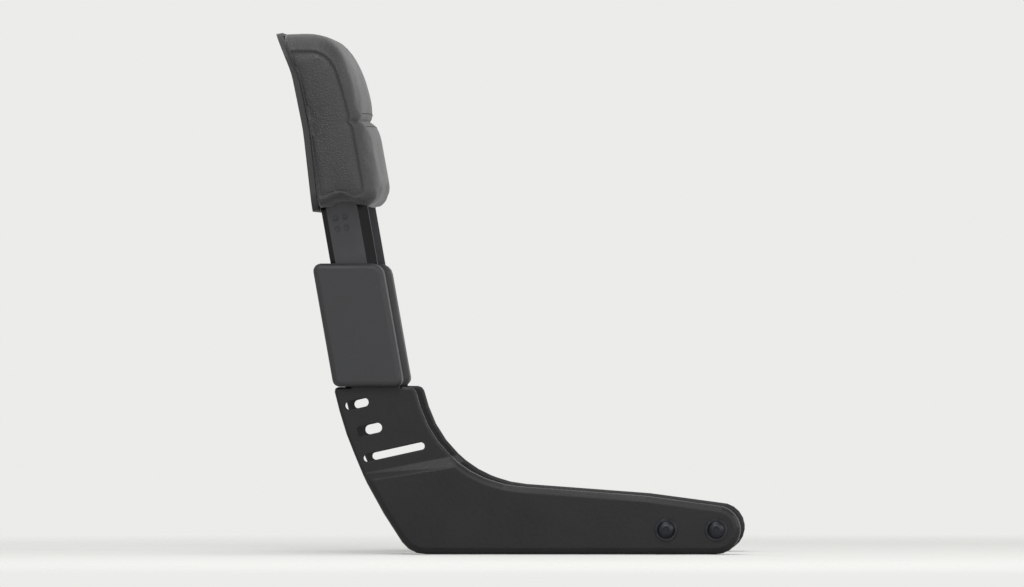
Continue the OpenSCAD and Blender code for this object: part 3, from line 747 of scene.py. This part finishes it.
    def drawn_in(self, point: Vector) -> Vector:
        """Draws a point of the straight prism in by the rounding of the pad's ends.

        Args:
            point: Place on the prism, in the leaning frame.

        Returns:
            Its place on the rounded pad.
        """
        u, y, v = point
        mid_v = self.low_v + self.height / 2
        if u > self.mid_u:
            reach = self.front_u - self.mid_u
            drop_u = self.fall(y, self.front_r) + self.crown * (y / self.half) ** 2
        else:
            reach = self.mid_u - self.rear_u
            drop_u = self.fall(y, self.rear_r)
        drop_v = self.round_v * self.fall(y, self.top_r if v > mid_v else self.low_r)
        u -= drop_u * (u - self.mid_u) / reach
        v -= drop_v * (v - mid_v) / (self.height / 2)
        return Vector((u, y, v))

    @staticmethod
    def row(mesh: Mesh, at: Sequence[float], normal: Sequence[float], snap: float) -> None:
        """Cuts one row of edges through the mesh, or uses vertices within snap of it."""
        bmesh.ops.bisect_plane(
            mesh, geom=[*mesh.verts, *mesh.edges, *mesh.faces],
            dist=snap, plane_co=at, plane_no=normal,
        )

    def shape(self) -> Mesh:
        """Builds the foam's form as a prism that is cut into rows and drawn in at its ends.

        Returns:
            The form as a bmesh, in the leaning frame.
        """
        mesh = bmesh.new()
        ring = [mesh.verts.new((p.x, -self.half, p.y)) for p in self.section()]
        near_panel = mesh.faces.new(ring)
        bmesh.ops.inset_region(mesh, faces=[near_panel], thickness=self.seam_lip)
        boundary = [e for e in mesh.edges if e.is_boundary]
        grown = bmesh.ops.extrude_edge_only(mesh, edges=boundary)["geom"]
        moved = [g for g in grown if isinstance(g, bmesh.types.BMVert)]
        bmesh.ops.translate(mesh, vec=(0, 2 * self.half, 0), verts=moved)
        rim = [e for e in mesh.edges if e.is_boundary]
        far_panel = bmesh.ops.edgeloop_fill(mesh, edges=rim)["faces"]
        bmesh.ops.inset_region(mesh, faces=far_panel, thickness=self.seam_lip)
        for y in self.stations():
            self.row(mesh, (0, y, 0), (0, 1, 0), self.station_snap)
        for k in range(*self.depth_rows):
            self.row(mesh, (k * self.cell, 0, 0), (1, 0, 0), self.snap)
        for k in range(1, int(self.height / self.cell)):
            self.row(mesh, (0, 0, self.low_v + k * self.cell), (0, 0, 1), self.snap)
        for vert in mesh.verts:
            vert.co = self.drawn_in(vert.co)
        bmesh.ops.remove_doubles(mesh, verts=mesh.verts, dist=self.snap)
        bmesh.ops.dissolve_degenerate(mesh, edges=mesh.edges, dist=self.sliver)
        bmesh.ops.recalc_face_normals(mesh, faces=mesh.faces)
        mesh.verts.ensure_lookup_table()
        return mesh

    def on_rim(self, vert: bmesh.types.BMVert) -> bool:
        """Tells whether a vertex lies on the seam round a side panel.

        Args:
            vert: Vertex of the pad before its swelling, in the leaning frame.

        Returns:
            True where the side panel meets the wrapping one.
        """
        at_end = abs(abs(vert.co.y) - self.half) < self.rim_gap
        leads_in = [abs(abs(e.other_vert(vert).co.y) - self.half) for e in vert.link_edges]
        return at_end and max(leads_in) > 2 * self.rim_gap

    def in_notch(self, point: Vector) -> bool:
        """Tells whether a point lies at the bottom of the front's sewn notch."""
        off = abs(point.z - self.low_v - self.notch_v)
        return off < self.notch_half and point.x > self.notch_u

    def sew(self, mesh: Mesh) -> list[int]:
        """Draws the seams in and marks them as creases.

        Args:
            mesh: The pad's form, in the leaning frame.

        Returns:
            Indices of the vertices that seams and the rear panel hold.
        """
        rim = {v.index for v in mesh.verts if self.on_rim(v)}
        seams = rim | {v.index for v in mesh.verts if self.in_notch(v.co)}
        held = [v.index for v in mesh.verts if v.index in seams or v.co.x < self.glued_u]
        crease = mesh.edges.layers.float.new("crease_edge")
        for edge in mesh.edges:
            if all(v.index in seams for v in edge.verts):
                edge[crease] = self.seam_crease
        for index in rim:
            mesh.verts[index].co.y *= (self.half - self.seam_depth) / self.half
        return held

    def inflate(self, cushion: Piece, held: Iterable[int]) -> None:
        """Swells the panels between their seams with a cloth simulation.

        Args:
            cushion: The object to swell.
            held: Vertices that seams and the rear panel hold.
        """
        scene = bpy.context.scene
        group = cushion.vertex_groups.new(name="seams")
        group.add(list(held), 1.0, "REPLACE")
        before = [v.co.copy() for v in cushion.data.vertices]
        cloth = cushion.modifiers.new("Cloth", "CLOTH")
        cloth.settings.vertex_group_mass = "seams"
        cloth.settings.use_pressure = True
        cloth.settings.uniform_pressure_force = self.pressure
        cloth.settings.effector_weights.gravity = 0.0
        cloth.settings.tension_stiffness = self.stiffness
        cloth.settings.compression_stiffness = self.stiffness
        cloth.collision_settings.use_collision = False
        cloth.point_cache.frame_start, cloth.point_cache.frame_end = 1, self.frames
        for frame in range(1, self.frames + 1):
            scene.frame_set(frame)
        settle(cushion)
        scene.frame_set(1)
        for vert, start in zip(cushion.data.vertices, before):
            step = vert.co - start
            if step.length > self.swell:
                vert.co = start + step.normalized() * self.swell

    def hollow(self, cushion: Piece) -> None:
        """Cuts the recess of the inner board and the channels of the uprights.

        Args:
            cushion: The object to cut.
        """
        recess = box(self.recess_size, self.recess_place)
        deep = self.recess_size[0] / 2
        corners = [e for e in recess.edges if abs(e.verts[0].co.x - e.verts[1].co.x) > deep]
        bmesh.ops.bevel(
            recess, geom=corners, offset=self.recess_r, segments=4, profile=0.5,
            affect="EDGES", material=-1,
        )
        recess.transform(self.lean.matrix())
        carve(cushion, recess)
        u, y, v = self.channel_place
        for sign in (-1, 1):
            channel = box(self.channel_size, (u, sign * y, v))
            channel.transform(self.lean.matrix())
            carve(cushion, channel)

    def build(self) -> Piece:
        """Builds, swells and cuts the cushion.

        Returns:
            The cushion, in place.
        """
        mesh = self.shape()
        held = self.sew(mesh)
        mesh.transform(self.lean.matrix())
        cushion = new_piece("backrest_cushion", mesh)
        self.inflate(cushion, held)
        smooth = cushion.modifiers.new("Smooth", "SUBSURF")
        smooth.levels = smooth.render_levels = 1
        settle(cushion)
        self.hollow(cushion)
        shade_smooth(cushion)
        self.finishes.lay(cushion, LEATHERETTE)
        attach(cushion, BODY)
        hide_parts("pad_cushion")
        return cushion


@dataclass
class Stitching:
    """Topstitching along both sides of the seam across the cushion's front.

    Attributes:
        finishes: Where the thread's material comes from.
        pad: The cushion's sizes.
        pitch: Distance from one stitch to the next.
        size: Length, width and thickness of a stitch.
        lift: How far a stitch's middle stands above the covering.
        beside: Distance of each row from the seam.
        margin: How far the rows end before the pad's ends.
        start_u: Where the needle starts, in front of the pad.
    """

    finishes: Finishes
    pad: PadCushion
    pitch: float = 4.2 * MM
    size: tuple[float, float, float] = (3.0 * MM, 0.9 * MM, 0.7 * MM)
    lift: float = 0.05 * MM
    beside: float = 5.4 * MM
    margin: float = 16.0 * MM
    start_u: float = 60.0 * MM

    def skin(self, cushion: Piece) -> BVHTree:
        """Copies the cushion's surface into the leaning frame, for the needle to meet.

        Args:
            cushion: The finished cushion.

        Returns:
            The search tree of its faces.
        """
        data = cushion.data.copy()
        data.transform(self.pad.lean.matrix().inverted())
        points = [v.co for v in data.vertices]
        tree = BVHTree.FromPolygons(points, [p.vertices for p in data.polygons])
        bpy.data.meshes.remove(data)
        return tree

    def rows(self) -> list[list[Vector]]:
        """Places the needle's starting points, a millimetre apart.

        Returns:
            The points of each row.
        """
        reach = int((self.pad.half - self.margin) / MM)
        across = range(-reach, reach + 1)
        seam = self.pad.low_v + self.pad.notch_v
        heights = (seam - self.beside, seam + self.beside)
        return [[Vector((self.start_u, y * MM, v)) for y in across] for v in heights]

    def sew(self, mesh: Mesh, skin: BVHTree, row: Sequence[Vector]) -> None:
        """Lays one row of stitches on the cushion's skin.

        Args:
            mesh: Where the stitches are added.
            skin: The skin, in the leaning frame.
            row: The needle's starting points.
        """
        hits = [skin.ray_cast(start, Vector((-1, 0, 0)))[:2] for start in row]
        path = [(place, normal) for place, normal in hits if place is not None]
        gone = self.pitch
        for (last, _), (place, normal) in zip(path, path[1:]):
            gone += (place - last).length
            if gone < self.pitch:
                continue
            gone = 0.0
            along = (place - last).normalized()
            up = (normal - along * normal.dot(along)).normalized()
            turn = Matrix((along, up.cross(along), up)).transposed().to_4x4()
            put = Matrix.Translation(place + up * self.lift) @ turn
            bmesh.ops.create_uvsphere(
                mesh, u_segments=8, v_segments=5, radius=0.5,
                matrix=put @ Matrix.Diagonal((*self.size, 1.0)),
            )

    def build(self, cushion: Piece) -> Piece:
        """Sews the rows.

        Args:
            cushion: The finished cushion that the stitches lie on.

        Returns:
            One object with every stitch.
        """
        skin = self.skin(cushion)
        mesh = bmesh.new()
        for row in self.rows():
            self.sew(mesh, skin, row)
        mesh.transform(self.pad.lean.matrix())
        piece = new_piece("backrest_stitching", mesh)
        shade_smooth(piece)
        self.finishes.lay(piece, THREAD)
        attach(piece, BODY)
        return piece


# ---- fasteners


@dataclass
class FenderBolt:
    """Button-head bolt with a rolled thread on its free end.

    Attributes:
        finishes: Where its material comes from.
        radius: Outer radius of the thread.
        head_r: Radius of the head.
        head_h: Height of the head.
        head_shape: The head's half outline, as shares of its radius and height.
        head_edge: Height of the head's sharp rim, and how far its foot is drawn in.
        length: Length under the head.
        shank_share: Radius of the plain shank, as a share of the thread's.
        fillet: Width and height of the fillet under the head.
        thread_l: Length of the thread.
        pitch: Pitch of the thread.
        thread_depth: Depth of the thread.
        crest: Where a ridge's flat top starts and ends, as shares of the pitch.
        crest_worn: How much the rolled tops stay under the full radius.
        run_out: Length over which the shank narrows into the thread.
        tip: Plain end past the last ridge.
        tip_chamfer: How far the end is drawn in.
        seat_y: Distance of the head's seat from the middle plane.
        socket_flat: Width across the flats of the socket.
        socket_depth: Depth of the socket.
        place_x: Distance of the bolt from the origin along the object.
        steps: Sides of the turned outline.
    """

    finishes: Finishes
    radius: float = 4.0 * MM
    head_r: float = 7.0 * MM
    head_h: float = 4.4 * MM
    head_shape: Sequence[tuple[float, float]] = (
        (0.0, 1.0), (0.45, 1.0), (0.62, 0.93), (0.8, 0.74), (0.93, 0.48), (1.0, 0.22),
    )
    head_edge: tuple[float, float] = (0.1 * MM, 0.15 * MM)
    length: float = 50.0 * MM
    shank_share: float = 0.9
    fillet: tuple[float, float] = (0.3 * MM, 0.4 * MM)
    thread_l: float = 19.0 * MM
    pitch: float = 1.25 * MM
    thread_depth: float = 0.6 * MM
    crest: tuple[float, float] = (0.44, 0.56)
    crest_worn: float = 0.05 * MM
    run_out: float = 0.6 * MM
    tip: float = 1.2 * MM
    tip_chamfer: float = 0.5 * MM
    seat_y: float = 125.6 * MM
    socket_flat: float = 5.0 * MM
    socket_depth: float = 2.7 * MM
    place_x: float = 20.0 * MM
    steps: int = 40

    def outline(self) -> list[tuple[float, float]]:
        """Draws the half outline as radius and height over the seat, from the head's middle.

        Returns:
            Its points.
        """
        shank_r = self.shank_share * self.radius
        root = self.radius - self.thread_depth
        top = self.thread_l - self.length
        rim, drawn = self.head_edge
        points = [(r * self.head_r, h * self.head_h) for r, h in self.head_shape]
        points += [(self.head_r, rim), (self.head_r - drawn, 0.0)]
        points += [(shank_r + self.fillet[0], 0.0), (shank_r, -self.fillet[1])]
        points += [(shank_r, top + self.run_out), (root, top)]
        for k in range(int((self.thread_l - self.tip) / self.pitch)):
            start = top - k * self.pitch
            for share in self.crest:
                points.append((self.radius - self.crest_worn, start - share * self.pitch))
            points.append((root, start - self.pitch))
        return points + [(root - self.tip_chamfer, -self.length), (0.0, -self.length)]

    def turned(self) -> Mesh:
        """Turns the outline round the bolt's axis.

        Returns:
            The bolt without its socket.
        """
        mesh = bmesh.new()
        chain = [mesh.verts.new((r, 0, h)) for r, h in self.outline()]
        edges = [mesh.edges.new(pair) for pair in zip(chain, chain[1:])]
        bmesh.ops.spin(
            mesh, geom=[*chain, *edges], cent=(0, 0, 0), axis=(0, 0, 1),
            angle=2 * math.pi, steps=self.steps, use_merge=True, use_duplicate=False,
        )
        bmesh.ops.remove_doubles(mesh, verts=mesh.verts, dist=SAME_POINT)
        bmesh.ops.recalc_face_normals(mesh, faces=mesh.faces)
        return mesh

    def socket(self) -> Mesh:
        """Makes the hexagon that is cut into the head.

        Returns:
            The hexagon as a bmesh.
        """
        mesh = bmesh.new()
        corner = self.socket_flat / math.sqrt(3)
        bmesh.ops.create_cone(
            mesh, cap_ends=True, segments=6, radius1=corner, radius2=corner,
            depth=2 * self.socket_depth,
        )
        bmesh.ops.translate(mesh, vec=(0, 0, self.head_h), verts=mesh.verts)
        return mesh

    def build(self, end: str, side: str) -> Piece:
        """Turns the bolt and puts it in its hole.

        Args:
            end: Front or rear bolt.
            side: Side of the object.

        Returns:
            The bolt, in place.
        """
        sign = -1 if side == "right" else 1
        x = self.place_x if end == "front" else -self.place_x
        hole = Matrix.Translation((x, sign * self.seat_y, 0))
        put = hole @ Matrix.Rotation(-sign * math.pi / 2, 4, "X")
        mesh = self.turned()
        mesh.transform(put)
        bolt = new_piece(f"fender_stud_{end}_{side}", mesh)
        socket = self.socket()
        socket.transform(put)
        carve(bolt, socket)
        self.finishes.lay(bolt, BLACK_ZINC)
        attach(bolt, BODY)
        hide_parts(f"fender_bolt_{end}_{side}")
        return bolt


# ---- rigid nodes


class Dress(Enum):
    """Finish of each kind of rigid node, and the width of its broken edges in millimetres."""

    BRACKET = ("bracket_", CASTING, 0.8)
    UPRIGHT = ("upright_", BAR, 0.5)
    LEG_COVER = ("leg_cover_", COVER, 0.4)
    BACK = ("pad_back_shell", SHELL, 1.2)
    INNER_BOARD = ("pad_board", BOARD, 0.0)
    INNER_PLATE = ("pad_plate", PLATE, 0.3)
    WASHER = ("fender_washer_", BLACK_ZINC, 0.25)
    COLLAR = ("fender_collar_", BLACK_ZINC, 0.5)
    LEG_BOLT = ("leg_bolt_", BLACK_ZINC, 0.0)
    LEG_NUT = ("leg_nut_", BLACK_ZINC, 0.3)
    COVER_SCREW = ("cover_screw_", BLACK_ZINC, 0.0)
    PLATE_SCREW = ("plate_screw_", BLACK_ZINC, 0.0)
    BOARD_SCREW = ("board_screw_", BRIGHT_ZINC, 0.0)
    TEE_NUT = ("tee_nut_", BRIGHT_ZINC, 0.0)
    SHELL_SCREW = ("shell_screw_", BLACK_ZINC, 0.0)

    def __init__(self, prefix: str, finish: Finish, edge_mm: float) -> None:
        """Keeps the three values under their names.

        Args:
            prefix: How the names of these nodes start.
            finish: What they are made of.
            edge_mm: Width of their broken edges, 0 for none.
        """
        self.prefix = prefix
        self.finish = finish
        self.edge_mm = edge_mm


def dress_nodes(nodes: Mapping[str, Piece], finishes: Finishes) -> None:
    """Gives every rigid node its finish and broken edges.

    Args:
        nodes: The frame's nodes by name.
        finishes: Where the materials come from.
    """
    for name, node in nodes.items():
        for dress in Dress:
            if name.startswith(dress.prefix):
                finishes.lay(node, dress.finish)
                if dress.edge_mm:
                    round_edges(node, dress.edge_mm)
                LOG.info("%s: %s", name, dress.finish.name)


# ---- studio


@dataclass(frozen=True)
class Lamp:
    """A soft round lamp that faces the middle of the object.

    Attributes:
        name: What it does.
        offset: Its place from the middle of the object.
        size: Its diameter.
        power: Its power in watts.
    """

    name: str
    offset: tuple[float, float, float]
    size: float
    power: float

    def hang(self, centre: Vector) -> None:
        """Hangs the lamp.

        Args:
            centre: Middle of the object.
        """
        data = bpy.data.lights.new(self.name, "AREA")
        data.shape = "DISK"
        data.size = self.size
        data.energy = self.power
        lamp = bpy.data.objects.new(self.name, data)
        lamp.location = centre + Vector(self.offset)
        lamp.rotation_euler = (-Vector(self.offset)).to_track_quat("-Z", "Y").to_euler()
        bpy.context.scene.collection.objects.link(lamp)


@dataclass
class Studio:
    """Pale floor and room, soft lamps, and the camera at the photograph's angle.

    Attributes:
        azimuth: Degrees by which the camera stands to the front of the right side's square.
        elevation: Degrees by which it looks down.
        distance: Its distance from the middle of the object.
        frame_height: What the picture's height spans at the object.
        frame_shape: The picture's height as a share of its width.
        sensor: Width of the sensor in Blender's unit.
        sight: How far the camera sees.
        floor_gap: Distance of the floor below the object.
        floor_r: Radius of the floor.
        fade: Where the floor starts to fade into the room, and where it is gone.
        floor_colour: Colour of the floor.
        light_colour: Colour of the room's light on the object.
        light_strength: Strength of that light.
        room_colour: Colour of the room where it is seen or reflected.
        lamps: The lamps.
    """

    azimuth: float = 1.4
    elevation: float = 0.0
    distance: float = 18.0
    frame_height: float = 0.472
    frame_shape: float = 587 / 1024
    sensor: float = 36.0
    sight: float = 40.0
    floor_gap: float = 0.3 * MM
    floor_r: float = 1.6
    fade: tuple[float, float] = (0.55, 1.5)
    floor_colour: str = "#e6e6e4"
    light_colour: str = "#e6e6e4"
    light_strength: float = 0.5
    room_colour: str = "#ececea"
    lamps: Sequence[Lamp] = (
        Lamp("key", (-0.35, -2.35, 2.05), 1.6, 44.0),
        Lamp("fill", (1.2, -2.8, 0.5), 2.4, 20.0),
        Lamp("front", (2.6, -0.7, 0.9), 1.4, 19.0),
        Lamp("top", (-0.2, 0.1, 2.8), 1.6, 17.0),
        Lamp("back", (-1.6, 2.4, 1.6), 2.0, 18.0),
    )

    def paper(self) -> bpy.types.Material:
        """Builds the floor's material, which fades with the distance from the object.

        Returns:
            The material.
        """
        material = bpy.data.materials.new("matt white paper")
        tree = empty_tree(material)
        where = add_node(tree, "TexCoord").outputs["Object"]
        away = add_node(tree, "VectorMath", {"operation": "LENGTH"}, links={0: where})
        colour = {"Color": linear(self.floor_colour)}
        matt = add_node(tree, "BsdfDiffuse", inputs=colour).outputs[0]
        clear = add_node(tree, "BsdfTransparent").outputs[0]
        gone = ramp(tree, away.outputs["Value"], self.fade, smooth=True)
        both = add_node(tree, "MixShader", links={0: gone, 1: matt, 2: clear})
        add_node(tree, "OutputMaterial", links={"Surface": both.outputs[0]})
        return material

    def stage(self, low: Vector) -> None:
        """Lays the pale floor.

        Args:
            low: Lowest corner of the object.
        """
        mesh = bmesh.new()
        bmesh.ops.create_circle(mesh, cap_ends=True, segments=96, radius=self.floor_r)
        bmesh.ops.translate(mesh, vec=(0, 0, low.z - self.floor_gap), verts=mesh.verts)
        floor = new_piece("studio_floor", mesh)
        floor.data.materials.append(self.paper())
        floor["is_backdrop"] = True

    def room(self) -> None:
        """Surrounds the scene with an even pale grey, paler where it is seen or reflected."""
        world = bpy.data.worlds.new("pale room")
        tree = empty_tree(world)
        rays = add_node(tree, "LightPath").outputs
        shown = rays["Is Camera Ray"]
        for other in ("Is Glossy Ray", "Is Transmission Ray"):
            shown = add_node(
                tree, "Math", {"operation": "MAXIMUM"}, links={0: shown, 1: rays[other]}
            ).outputs[0]
        shades = ((self.light_colour, self.light_strength), (self.room_colour, 1.0))
        light, seen = (
            add_node(
                tree, "Background", None, {"Color": linear(colour), "Strength": power}
            ).outputs[0]
            for colour, power in shades
        )
        both = add_node(tree, "MixShader", links={0: shown, 1: light, 2: seen})
        add_node(tree, "OutputWorld", links={"Surface": both.outputs[0]})
        bpy.context.scene.world = world

    def camera(self, centre: Vector) -> None:
        """Stands the camera far off, at the photograph's angle.

        Args:
            centre: Middle of the object.
        """
        a, e = math.radians(self.azimuth), math.radians(self.elevation)
        back = Vector((math.sin(a) * math.cos(e), -math.cos(a) * math.cos(e), math.sin(e)))
        data = bpy.data.cameras.new("camera")
        data.sensor_width = self.sensor
        data.lens = self.sensor * self.frame_shape * self.distance / self.frame_height
        data.clip_end = self.sight
        camera = bpy.data.objects.new("camera", data)
        camera.location = centre + back * self.distance
        camera.rotation_euler = (-back).to_track_quat("-Z", "Y").to_euler()
        bpy.context.scene.collection.objects.link(camera)
        bpy.context.scene.camera = camera

    def build(self, low: Vector, high: Vector) -> None:
        """Builds the whole studio round the object.

        Args:
            low: Lowest corner of the object.
            high: Highest corner of the object.
        """
        centre = (low + high) / 2
        self.camera(centre)
        self.stage(low)
        for lamp in self.lamps:
            lamp.hang(centre)
        self.room()
        bpy.context.scene.view_settings.view_transform = "Standard"


def main() -> None:
    """Builds the studio, dresses the nodes and adds the modelled pieces."""
    logging.basicConfig(level=logging.INFO, format="%(message)s")
    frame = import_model()
    cad_low, cad_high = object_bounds()
    finishes = Finishes()
    Studio().build(cad_low, cad_high)
    dress_nodes(frame["nodes"], finishes)
    pad = PadCushion(finishes)
    cushion = pad.build()
    pieces = [cushion, Stitching(finishes, pad).build(cushion)]
    bolt = FenderBolt(finishes)
    pieces += [bolt.build(end, side) for side in SIDES for end in ENDS]
    for piece in pieces:
        LOG.info("%s: %d faces", piece.name, len(piece.data.polygons))


if __name__ == "__main__":
    main()
